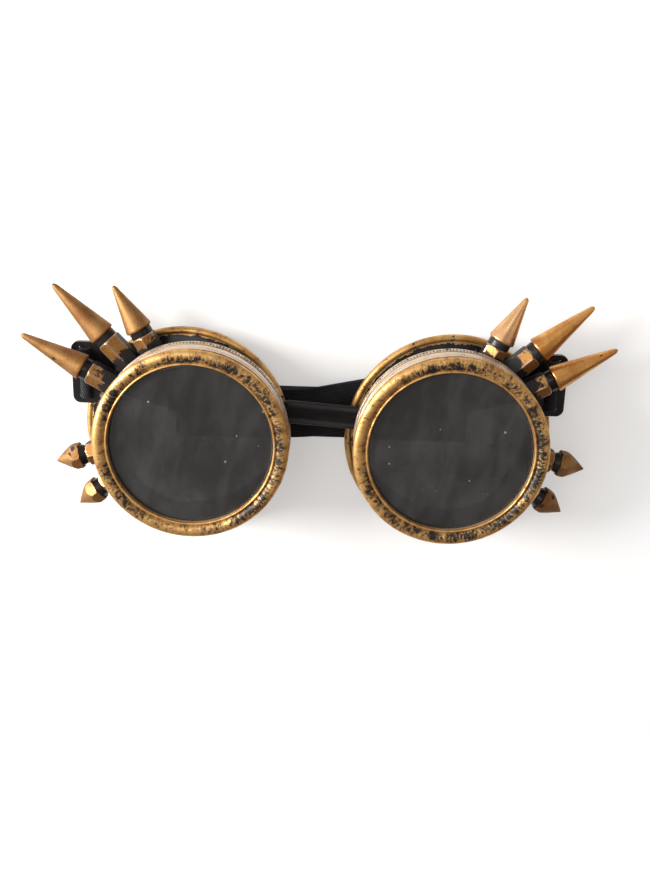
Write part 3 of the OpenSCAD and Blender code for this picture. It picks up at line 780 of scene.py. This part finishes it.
# bronze on what faces up and on the corners, black on what faces down; the side turned towards shaded is
# painted black, painted shade on the post's unlit facets
def rubByFacing(shape, shaded, up=0.72, corner=0.35):
    bm = bmesh.new()
    for p in shape["points"]:
        bm.verts.new(p)
    bm.verts.ensure_lookup_table()
    for f in shape["faces"]:
        bm.faces.new([bm.verts[i] for i in f])
    bmesh.ops.recalc_face_normals(bm, faces=bm.faces)
    bm.normal_update()
    normals = np.array([v.normal for v in bm.verts])
    bm.free()
    rub = up * np.clip(normals[:, 2] * 1.6 + 0.25, 0, 1)
    rub = rub - 0.7 * np.clip(normals[:, 0] * shaded[0] + normals[:, 1] * shaded[1] - 0.1, 0, 1)
    shape["values"]["rub"] = np.maximum(rub[:, None] + shape["values"]["rub"] * corner, 0)
    return shape


def postShape(length, s, seed):
    flats, corner = s["postFlats"], s["postFlats"] / math.sqrt(3) + 0.05
    profile = rounded([
        (s["bore"], 0, 0), (flats / 2 - 0.1, 0, 0.2), (corner, 0.7, 0.6), (corner, length - 0.7, 0.6),
        (flats / 2 - 0.1, length, 1.0), (s["bore"], length, 0)])

    def corners(angle, r, z, rub):
        near = np.clip((r - flats / 2 * 1.07) / 0.3, 0, 1)
        end = np.clip((z - length + 0.9) / 0.5, 0, 1)
        return r, z, np.maximum(near * 0.7, end) - 6 * np.clip(0.66 - z / length, 0, 1)

    # the corners and the end ring turn pale cream, painted highlights along the post's edges
    def pale(r, z):
        near = np.clip((r - flats / 2 * 1.09) / 0.15, 0, 1)
        return np.clip(near + np.clip((z - length + 0.45) / 0.3, 0, 1), 0, 1) * 0.85

    return turnedShape(divided(profile, 0.35), 96, cut=hexRadius(flats, 70), shift=corners, seed=seed,
                       chalkAndHighlight=pale)


def collarShape(low, high, s, seed):
    bore, height = s["bore"], s["collarHeight"]
    profile = rounded([(bore, 0, 0), (low, 0, 0, 0.3), (high, height, 0, 0.3), (bore, height, 0)])
    return turnedShape(divided(profile, 0.4), 56, seed=seed)


def coneShape(length, s, seed, pale):
    r, bore, hole = s["coneBase"], s["bore"], s["inCone"]
    profile = rounded([
        (bore, 0.02, 0.4), (r - 0.25, 0, 0.7, 0.15), (r, 0.45, 0.86, 0.25),
        (1.1, length - 2.0, 0.9), (0.85, length - 0.75, 0.62, 0.5), (0.42, length - 0.12, 0.42, 0.3),
        (0.05, length, 0.4, 0.05), (0.02, length - 0.4, 0.4),
        (bore - 0.3, hole + 0.6, 0), (bore, hole + 0.3, 0)])
    return turnedShape(divided(profile, 0.6), 80, seed=seed, chalkAndHighlight=lambda r, z: np.full_like(z, pale))


def shortShape(s, seed):
    flats, length, bore, hole = s["shortFlats"], s["shortLength"], s["bore"], s["inShort"]
    r = flats / math.sqrt(3)
    profile = rounded([
        (bore, 0.02, 0.3), (r - 0.3, 0, 0.6, 0.1), (r, 0.3, 0.8, 0.1), (r, 0.25 * length, 0.9, 0.4),
        (0.70 * r, 0.52 * length, 0.9, 0.8), (0.42, length - 0.4, 0.95, 0.2), (0.05, length, 0.9, 0.05),
        (0.02, length - 0.3, 0.9), (bore - 0.3, hole + 0.5, 0), (bore, hole + 0.3, 0)])
    return turnedShape(divided(profile, 0.2), 96, cut=hexRadius(flats, 110), seed=seed)


# pan head with a cross recess, and its shank
def screwShape(length, s, seed):
    head, under, shank = s["headRadius"], -s["headDepth"], s["screw"]
    low = under - 1.0
    rings = [(r, low + 0.25 * (r / head) ** 6, 0.6) for r in np.linspace(0.02, head - 0.12, 16)]
    profile = rings + rounded([
        (head, low + 0.5, 0.6, 0.12), (head, under, 0.4, 0.1), (shank, under, 0.3, 0.1),
        (shank, length - 0.4, 0.3), (shank - 0.4, length, 0.3, 0.1), (0.02, length, 0.3)])

    def arm(across, along):
        return np.clip((0.42 - np.abs(across)) / 0.12, 0, 1) * np.clip((1.75 - np.abs(along)) / 0.3, 0, 1)

    def recess(angle, r, z, rub):
        x, y = r * np.cos(angle), r * np.sin(angle)
        return r, z + np.maximum(arm(y, x), arm(x, y)) * 0.55 * (z < low + 0.4), rub

    return turnedShape(divided(profile, 0.5, closed=False), 72, shift=recess, seed=seed)


def makeSpikes(side, s):
    posts, collars, cones, medium, short, screws = [], [], [], [], [], []
    for k in range(5):
        place, seed = spikePlace(side, k, s), 0.05 * k + 0.3 * (side == "right")
        post = s["posts"][side][k]
        onPost = place @ Matrix.Translation((0, 0, post))
        onCollar = onPost @ Matrix.Translation((0, 0, s["collarHeight"]))
        posts.append(rubByFacing(moved(postShape(post, s, seed), place), s["shaded"][side][k]))
        low = s["collar"] if k < 3 else s["collarNeck"]
        collars.append(moved(collarShape(low, s["collar"], s, seed), onPost))
        if k < 3:
            cone = coneShape(s["coneLengths"][k], s, seed, s["pale"][side][k])
            (cones if k < 2 else medium).append(moved(cone, onCollar))
        else:
            short.append(moved(shortShape(s, seed), onCollar))
        reach = post + s["collarHeight"] + (s["inCone"] if k < 3 else s["inShort"])
        screws.append(moved(screwShape(reach, s, seed), place))
    for name, shapes, material, sharp, slot, replaced in (
            ("spikePosts_", posts, postBronze, 24, "post_bronze", "spike_posts_"),
            ("spikeCollars_", collars, collarBlack, 35, "collar_black", "spike_collars_"),
            ("longSpikes_", cones, spikeBronze[side], 35, "spike_bronze", "long_spikes_"),
            ("mediumSpike_", medium, spikeBronze[side], 35, "spike_bronze", "medium_spike_"),
            # the short ones on the right take the left's darker bronze too, painted shade on facets turned
            # from the light
            ("shortSpikes_", short, spikeBronze["left"], 16, "spike_bronze", "short_spikes_"),
            ("spikeScrews_", screws, screwSteel, 35, "screw_steel", "spike_screws_")):
        piece = makePiece(name + side, joined(shapes), material, sharp)
        settle(piece, side + "_cup", slot, replaced + side)


for side in sides:
    makeSpikes(side, spikes)
print("spikes, posts, collars and screws made")


# rubber strip across the nose, with its beads and its heads inside the cups
bridge = {
    "middle": (0, 5.6, 13.0), "turn": -4.0, "half": 17.1, "barWidth": 6.7, "thick": 1.8, "edge": 0.55,
    "bead": 1.15, "beadPlace": 2.6, "beadEnd": 11.1,
    "headIn": 14.4, "headOut": 17.0, "headWidth": 10.0, "headHeight": 5.2, "headCorner": 0.9,
    "cupBore": 25.0, "blend": 8.0,
}


def bridgeBar(b):
    place, end, edge = b["beadPlace"], b["beadEnd"], b["barWidth"] / 2
    quarter = np.linspace(0, math.pi / 2, 7)
    across = np.concatenate([
        -np.cos(quarter) * b["bead"] - place, np.linspace(0.35 - place, place - 0.35, 13),
        place + np.sin(quarter) * b["bead"]])
    stations = np.concatenate([
        np.linspace(-b["half"], -end - 0.5, 8), np.linspace(-end - 0.3, end + 0.3, 46),
        np.linspace(end + 0.5, b["half"], 8)])
    rows, rubs = [], []
    for x in stations:
        beaded = np.clip((end + 0.4 - abs(x)) / 0.6, 0, 1)
        y = np.clip(across, -edge - 0.4 * beaded, edge + 0.4 * beaded)
        off = np.abs(y)
        bead = np.sqrt(np.maximum(b["bead"] ** 2 - (off - place) ** 2, 0)) * beaded
        plain = np.where(off > edge - 0.01, b["edge"], b["thick"] / 2) * (1 - beaded * (off > place))
        half = np.maximum(bead, plain) + 0.02
        top, low = np.stack([np.full_like(y, x), y, half], 1), np.stack([np.full_like(y, x), y, -half], 1)
        rows.append(np.concatenate([top, low[::-1]]))
        # rub marks the bead crests, which the rubber paints lighter as a painted highlight
        rub = np.clip(bead - 0.75, 0, 1) * 2
        rubs.append(np.concatenate([rub, rub[::-1]]))
    points = np.array(rows)
    return swept(points, {"rub": np.array(rubs), "brush": points * mm})


def bridgeHead(end, b):
    w, h = b["headWidth"] / 2, b["headHeight"] / 2
    corners = [(y, z, 0, b["headCorner"]) for y, z in ((w, h), (-w, h), (-w, -h), (w, -h))]
    outline = np.array([p[:2] for p in divided(rounded(corners, 4), 1.2)])
    headIn, headOut, bore, offset = b["headIn"], b["headOut"], b["cupBore"], b["middle"][1]
    rows = []
    for x, shrink in ((headIn, 0.5), (headIn + 0.12, 0.15), (headIn + 0.4, 0),
                      (headOut - 0.5, 0), (headOut - 0.15, 0.12), (headOut, 0.5)):
        ring = outline * (1 - shrink / np.abs(outline).max(0))
        # the head's inner face follows the cup's bore
        bow = np.sqrt(bore ** 2 - (ring[:, 0] + offset) ** 2) - math.sqrt(bore ** 2 - offset ** 2)
        rows.append(np.stack([end * (x - bow * (x < headIn + 1) + 0.15), ring[:, 0], ring[:, 1]], 1))
    points = np.array(rows)
    return swept(points, {"rub": np.zeros(points.shape[:2]), "brush": points * mm})


def makeBridge(b):
    shape = joined([bridgeBar(b), bridgeHead(-1, b), bridgeHead(1, b)])
    place = Matrix.Translation(b["middle"]) @ Matrix.Rotation(math.radians(b["turn"]), 4, "Z")
    obj = makePiece("bridgeStrip", moved(shape, place), bridgeRubber, 40)
    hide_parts("bridge_strip")
    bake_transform(obj)


makeBridge(bridge)
print("bridge strip moulded")


# the folded elastic head strap: lug, floor, fold, back, fold, over, lug
strap = {
    "width": 16.5, "thick": 1.2, "edge": 0.42, "layers": (0.6, 2.2, 3.8), "straightY": 2.9, "lugY": 15.3,
    "foldX": 46.0, "dropX": 50.0, "dropRadius": 8.0,
    "turnRadius": 65.0, "turnAngle": {"left": 16, "right": 12}, "lead": {"left": 3.4, "right": 14.4},
    "liftRadius": 2.0, "loopRadius": 1.45, "loopHeight": 6.1, "tailHeights": (1.5, 3.0, 4.6),
    "outSlot": {"left": 37.55, "right": 35.05}, "inSlot": {"left": 34.65, "right": 32.15},
    "step": 0.9, "blend": 20.0,
}


def turnEnds(s, angle):
    bow = s["turnRadius"] * math.sin(angle)
    straight = (s["lugY"] - s["straightY"] - 2 * s["turnRadius"] * (1 - math.cos(angle))) / math.tan(angle)
    return bow, bow + straight, 2 * bow + straight


def planRise(s, d, angle):
    rise, radius, ends = s["lugY"] - s["straightY"], s["turnRadius"], turnEnds(s, angle)
    if d <= 0:
        return 0.0
    if d < ends[0]:
        return radius - math.sqrt(radius ** 2 - d * d)
    if d < ends[1]:
        return radius * (1 - math.cos(angle)) + (d - ends[0]) * math.tan(angle)
    if d < ends[2]:
        return rise - radius + math.sqrt(radius ** 2 - (ends[2] - d) ** 2)
    return rise


# lines of (x, z, direction) seen from the front; a full turn added to a direction changes nothing
def bendLine(x, z, r, start, end):
    n = max(4, round(abs(end - start) / 9))
    s = 1 if end > start else -1
    return [(x + s * r * math.sin(a), z - s * r * math.cos(a), a)
            for a in np.radians(np.linspace(start, end, n + 1))]


def runLine(x0, x1, z, a, step):
    n = max(1, math.ceil(abs(x1 - x0) / step))
    return [(x0 + (x1 - x0) * i / n, z, math.radians(a)) for i in range(1, n)]


def strapStations(s):
    low, mid, high = s["layers"]
    leftOut, leftIn = -halfSpacing - s["outSlot"]["left"], -halfSpacing - s["inSlot"]["left"]
    rightOut, rightIn = halfSpacing + s["outSlot"]["right"], halfSpacing + s["inSlot"]["right"]
    drop, lift, step, tail = s["dropRadius"], s["liftRadius"], s["step"], s["tailHeights"]
    fall = math.degrees(math.acos(1 - (high - low) / (2 * drop)))
    dropEnd = s["dropX"] + 2 * drop * math.sin(math.radians(fall))
    first = ([(leftIn, z, math.pi / 2) for z in tail]
             + bendLine((leftIn + leftOut) / 2, s["loopHeight"], s["loopRadius"], 90, 270)
             + bendLine(leftOut + lift, low + lift, lift, 270, 360)
             + runLine(leftOut + lift, s["foldX"], low, 360, step))
    second = (bendLine(s["foldX"], (low + mid) / 2, (mid - low) / 2, 360, 540)
              + runLine(s["foldX"], -s["foldX"], mid, 540, step)
              + bendLine(-s["foldX"], (mid + high) / 2, (high - mid) / 2, 540, 360))
    third = (runLine(-s["foldX"], s["dropX"], high, 360, step)
             + bendLine(s["dropX"], high - drop, drop, 360, 360 - fall)
             + bendLine(dropEnd, low + drop, drop, 360 - fall, 360)
             + runLine(dropEnd, rightOut - lift, low, 360, step)
             + bendLine(rightOut - lift, low + lift, lift, 360, 450)
             + bendLine((rightIn + rightOut) / 2, s["loopHeight"], s["loopRadius"], 450, 630)
             + [(rightIn, z, math.radians(630)) for z in reversed(tail)])
    angles = {k: math.radians(v) for k, v in s["turnAngle"].items()}
    leftTurn = leftOut + s["lead"]["left"] + turnEnds(s, angles["left"])[2]
    rightTurn = rightOut - s["lead"]["right"] - turnEnds(s, angles["right"])[2]
    made = []
    for stations, sign, turn, angle in ((first, -1, leftTurn, angles["left"]), (second, 0, 0, 0),
                                        (third, 1, rightTurn, angles["right"])):
        for x, z, a in stations:
            y, heading = s["straightY"], 0
            if sign:
                d = sign * (x - turn)
                y += planRise(s, d, angle)
                heading = sign * math.atan(planRise(s, d + 0.5, angle) - planRise(s, d - 0.5, angle))
            made.append((x, y, z, a, heading))
    return made


def strapSection(s):
    w, t = s["width"] / 2, s["thick"] / 2
    side = [(-w + s["edge"] * (1 - math.cos(a)), t * math.sin(a)) for a in np.linspace(0, math.pi / 2, 5)]
    # a shallow dip along the middle of each face
    middle = [(p, t - 0.05 * math.cos(math.pi * p / w) ** 2 * (abs(p) < w / 2))
              for p in np.linspace(-w + 1.2, w - 1.2, 17)]
    upper = side + middle + [(-p, q) for p, q in reversed(side)]
    return upper + [(p, -q) for p, q in reversed(upper[1:-1])]


# lays the section along the stations, which are x, y, z, the direction in front view and the one in plan
def makeStrap(s):
    section = np.array(strapSection(s))
    rows, along, across, length, last = [], [], [], 0.0, None
    for x, y, z, a, heading in strapStations(s):
        here = np.array((x, y, z))
        length += 0 if last is None else float(np.linalg.norm(here - last))
        last = here
        p, q = section[:, 0], section[:, 1]
        rows.append(np.stack([x - p * math.sin(heading) - q * math.sin(a) * math.cos(heading),
                              y + p * math.cos(heading) - q * math.sin(a) * math.sin(heading),
                              z + q * math.cos(a)], 1))
        along.append(np.full(len(section), length * mm))
        across.append(p * mm)
    points, along, across = np.array(rows), np.array(along), np.array(across)
    brush = np.stack([along, across, points[:, :, 2] * mm], -1)
    values = {"rub": np.zeros(points.shape[:2]), "brush": brush, "along": along, "across": across}
    obj = makePiece("headStrap", swept(points, values), strapElastic, 60)
    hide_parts("head_strap")
    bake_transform(obj)
    print("head strap laid, length %.0f mm" % length)


makeStrap(strap)

# CAD nodes that stay, each with its own finish
for side in sides:
    finishes = {"eyecup_": cupShell[side], "lens_spacer_": gasketRubber, "clear_lens_": clearLens}
    for name, material in finishes.items():
        node = nodes[name + side]
        node.data.materials.clear()
        node.data.materials.append(material)
print("carried-over nodes painted")

# floor, light and surroundings, in metres
studio = {
    "floor": (0.86, 0.848, 0.832, 1), "floorHalf": 3.0, "floorDrop": 0.00008,
    # the floor turns white away from the goggles and keeps their shadow near them
    "glow": (0.40, 1.0), "glowFade": (0.08, 0.17),
    "roomLow": (0.20, 0.135, 0.10, 1), "roomHigh": (0.94, 0.92, 0.89, 1), "roomStrength": 0.75,
    "key": {"place": (-0.84, 0.20, 0.44), "size": 0.48, "power": 23.5, "colour": (1.0, 0.995, 0.985)},
    "fill": {"place": (0.75, 0.10, 0.55), "size": 0.8, "power": 0.9, "colour": (1.0, 0.93, 0.86)},
    "top": {"place": (-0.30, 0.30, 0.90), "size": 0.6, "power": 2.0, "colour": (1.0, 1.0, 1.0)},
}


def makeFloor(s):
    mesh = bpy.data.meshes.new("floor")
    h = s["floorHalf"]
    mesh.from_pydata([(-h, -h, 0), (h, -h, 0), (h, h, 0), (-h, h, 0)], [], [(0, 1, 2, 3)])
    floor = bpy.data.objects.new("floor", mesh)
    floor.location.z = -s["floorDrop"]
    scene.collection.objects.link(floor)
    mat, tree, shader = startMaterial("paleFloor")
    setInputs(tree, shader, {"Base Color": s["floor"], "Roughness": 0.85})
    rays = addNode(tree, "LightPath").outputs
    mirrored = maths(tree, "MAXIMUM", rays["Is Glossy Ray"], rays["Is Transmission Ray"])
    seen = maths(tree, "MAXIMUM", rays["Is Camera Ray"], mirrored)
    far = addNode(tree, "VectorMath", {0: objectPlace(tree)}, operation="LENGTH").outputs["Value"]
    glow = addNode(tree, "Emission", {"Color": (1, 1, 1, 1), "Strength": 1.0})
    share = times(tree, seen, mixNumbers(tree, ramp(tree, far, *s["glowFade"]), *s["glow"]))
    mixed = addNode(tree, "MixShader", {0: share, 1: shader.outputs[0], 2: glow.outputs[0]})
    out = next(n for n in tree.nodes if n.type == "OUTPUT_MATERIAL")
    tree.links.new(mixed.outputs[0], out.inputs[0])
    mesh.materials.append(mat)


def makeLamp(name, lamp):
    data = bpy.data.lights.new(name, "AREA")
    data.shape, data.size, data.energy, data.color = "DISK", lamp["size"], lamp["power"], lamp["colour"]
    obj = bpy.data.objects.new(name, data)
    obj.location = lamp["place"]
    obj.rotation_euler = (-Vector(lamp["place"])).to_track_quat("-Z", "Y").to_euler()
    scene.collection.objects.link(obj)


def makeSurroundings(s):
    world = bpy.data.worlds.new("studioRoom")
    world.use_nodes = True
    tree = world.node_tree
    tree.nodes.clear()
    direction = addNode(tree, "TexCoord").outputs["Generated"]
    x, y, z = addNode(tree, "SeparateXYZ", {0: direction}).outputs
    level = ramp(tree, weighted(tree, (x, -0.45), (y, 0.35), (z, 0.25)), -0.5, 0.75)
    tone = mixColours(tree, level, s["roomLow"], s["roomHigh"])
    out = addNode(tree, "OutputWorld")
    room = addNode(tree, "Background", {"Color": tone, "Strength": s["roomStrength"]})
    white = addNode(tree, "Background", {"Color": (1, 1, 1, 1), "Strength": 1.0})
    seen = addNode(tree, "LightPath").outputs["Is Camera Ray"]
    mixed = addNode(tree, "MixShader", {0: seen, 1: room.outputs[0], 2: white.outputs[0]})
    tree.links.new(mixed.outputs[0], out.inputs[0])
    scene.world = world


makeFloor(studio)
for lampName in ("key", "fill", "top"):
    makeLamp(lampName, studio[lampName])
makeSurroundings(studio)
scene.view_settings.view_transform = "Standard"
print("studio lit")
